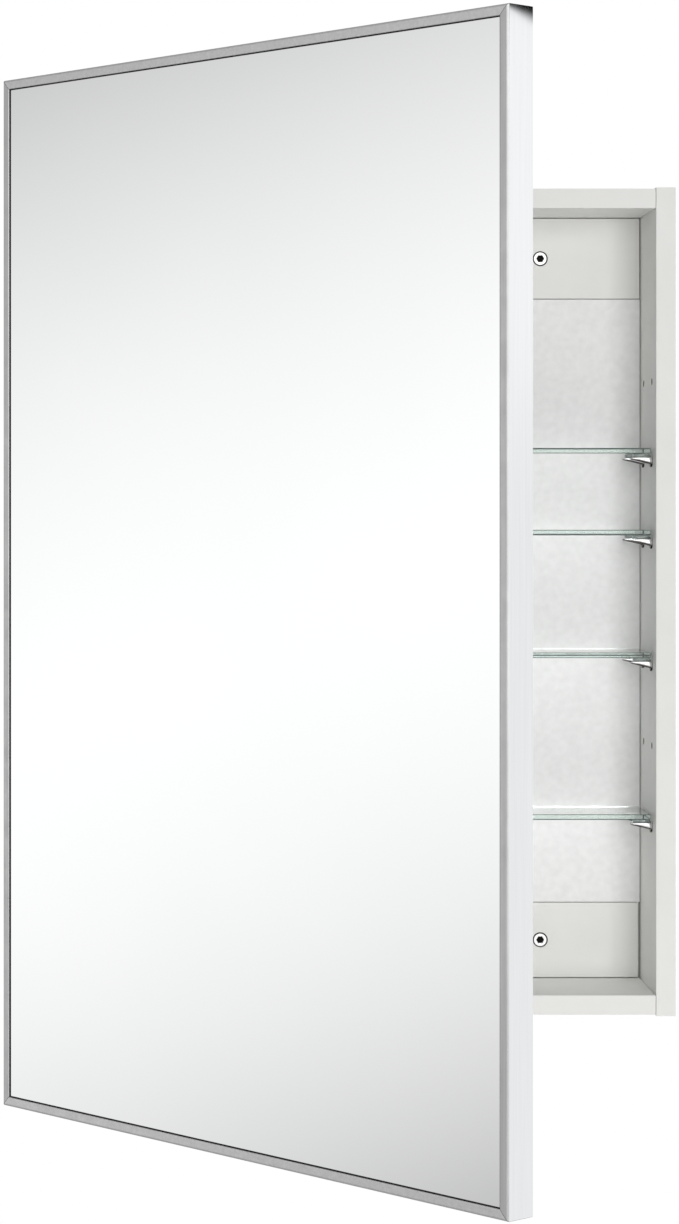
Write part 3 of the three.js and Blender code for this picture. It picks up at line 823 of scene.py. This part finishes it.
def world():
    """A white room. Polished surfaces reflect a slanting band of light at the left, and at the right an even
    wall with one dark strip. In front it is brighter, and behind it is dim."""
    scene_world = bpy.data.worlds.new("studio")
    bpy.context.scene.world = scene_world
    scene_world.use_nodes = True
    tree = scene_world.node_tree
    tree.nodes.clear()

    def node(kind, **properties):
        made = tree.nodes.new(kind)
        for key, value in properties.items():
            setattr(made, key, value)
        return made

    def plug(source, socket):
        """Sets a socket to a number, or links another node's output to it."""
        if isinstance(source, (int, float)):
            socket.default_value = source
        else:
            tree.links.new(source, socket)

    def value(operation, *inputs):
        made = node("ShaderNodeMath", operation=operation)
        for socket, source in zip(made.inputs, inputs):
            plug(source, socket)
        return made.outputs[0]

    def background(strength):
        made = node("ShaderNodeBackground")
        made.inputs["Color"].default_value = (1, 1, 1, 1)
        plug(strength, made.inputs["Strength"])
        return made.outputs[0]

    def mixed(factor, first, second):
        made = node("ShaderNodeMixShader")
        for socket, source in zip(made.inputs, (factor, first, second)):
            tree.links.new(source, socket)
        return made.outputs[0]

    def blended(factor, first, second):
        made = node("ShaderNodeMix")
        for index, source in ((0, factor), (2, first), (3, second)):
            plug(source, made.inputs[index])
        return made.outputs[0]

    def step(source, start, end, low, high):
        made = node("ShaderNodeMapRange", interpolation_type="SMOOTHSTEP")
        tree.links.new(source, made.inputs["Value"])
        for key, number in zip(("From Min", "From Max", "To Min", "To Max"), (start, end, low, high)):
            made.inputs[key].default_value = number
        return made.outputs[0]

    split = node("ShaderNodeSeparateXYZ")
    tree.links.new(node("ShaderNodeTexCoord").outputs["Generated"], split.inputs[0])
    x, y, z = split.outputs
    across = value("ADD", value("MULTIPLY", y, MIRROR_BAND_SLANT), MIRROR_BAND_OFFSET)
    offset = value("ADD", z, across)
    steepness = step(offset, *MIRROR_BAND_MIDDLE, MIRROR_BAND_FALL_BELOW, MIRROR_BAND_FALL_ABOVE)
    fall = value("MULTIPLY", value("POWER", value("ABSOLUTE", offset), MIRROR_BAND_CURVE), steepness)
    level = value("MAXIMUM", value("SUBTRACT", 1.0, fall), MIRROR_BAND_LEAST)
    band = value("MULTIPLY", level, MIRROR_BAND_PEAK)
    least, most = RIGHT_DARK_TURN
    turned = value("MINIMUM", value("MAXIMUM", value("ADD", y, RIGHT_DARK_SHIFT), least), most)
    edge = value("ADD", z, value("MULTIPLY", turned, RIGHT_DARK_SLANT))
    width = value("ADD", value("MULTIPLY", turned, RIGHT_DARK_SPREAD), RIGHT_DARK_WIDTH)
    into_dark = value("DIVIDE", value("SUBTRACT", edge, RIGHT_DARK_START), width)
    lit = step(z, *RIGHT_RISE, RIGHT_LEVEL, RIGHT_LEVEL_HIGH)
    right = value("MULTIPLY", lit, step(into_dark, 0.0, 1.0, 1.0, 0.0))
    right = value("MAXIMUM", right, step(z, *RIGHT_BRIGHT_AGAIN, 0.0, 1.0))
    front = step(z, *FRONT_RISE, FRONT_LOW_LEVEL, FRONT_LEVEL)
    reflected = blended(step(x, *LEFT_TO_RIGHT, 0.0, 1.0), band, right)
    reflected = blended(step(y, *FRONT_FADE, 1.0, 0.0), reflected, front)
    reflected = blended(step(y, *BEHIND_FADE, 0.0, 1.0), reflected, BEHIND_LEVEL)
    rays = node("ShaderNodeLightPath")
    seen_in_gloss = mixed(rays.outputs["Is Glossy Ray"], background(AMBIENT), background(reflected))
    surface = mixed(rays.outputs["Is Camera Ray"], seen_in_gloss, background(1.0))
    tree.links.new(surface, node("ShaderNodeOutputWorld").inputs["Surface"])


# Each light's name, place, size and power
LIGHTS = (
    ("key", (0.5, -3.3, 0.1), (1.4, 1.8), 53),
    ("overhead", (0.3, -0.75, 2.3), (1.2, 0.6), 5),
    ("rear", (0.9, 3.0, 0.7), (1.6, 1.6), 24),
)
LIGHT_TARGET = (0.1, 0, 0)


def area_light(name, spot, size, power):
    """A soft light aimed at the cabinet. The camera and the reflections don't see it."""
    light = bpy.data.lights.new(name, "AREA")
    light.shape = "RECTANGLE"
    light.size, light.size_y = size
    light.energy = power
    obj = bpy.data.objects.new(name, light)
    obj.location = spot
    obj.rotation_euler = (Vector(LIGHT_TARGET) - Vector(spot)).to_track_quat("-Z", "Y").to_euler()
    obj.visible_camera = False
    obj.visible_glossy = False
    bpy.context.scene.collection.objects.link(obj)


def camera():
    """The photograph's point of view."""
    data = bpy.data.cameras.new("camera")
    data.sensor_width = SENSOR
    data.lens = LENS
    data.shift_x = SHIFT_X
    data.shift_y = SHIFT_Y
    obj = bpy.data.objects.new("camera", data)
    obj.location = (-CAMERA_LEFT_OF_CENTRE, BODY_FRONT - CAMERA_BEFORE_FRONT, CAMERA_ABOVE_CENTRE)
    obj.rotation_euler = (math.pi / 2, 0, 0)
    bpy.context.scene.collection.objects.link(obj)
    bpy.context.scene.camera = obj


bpy.context.scene.view_settings.view_transform = "Standard"
camera()
world()
floor()
for name, spot, size, power in LIGHTS:
    area_light(name, spot, size, power)
screws()
shelf_supports()
spare_holes()
hinge_screws()
bumpers()
painted_shadow_bead()
finish_cad_nodes()
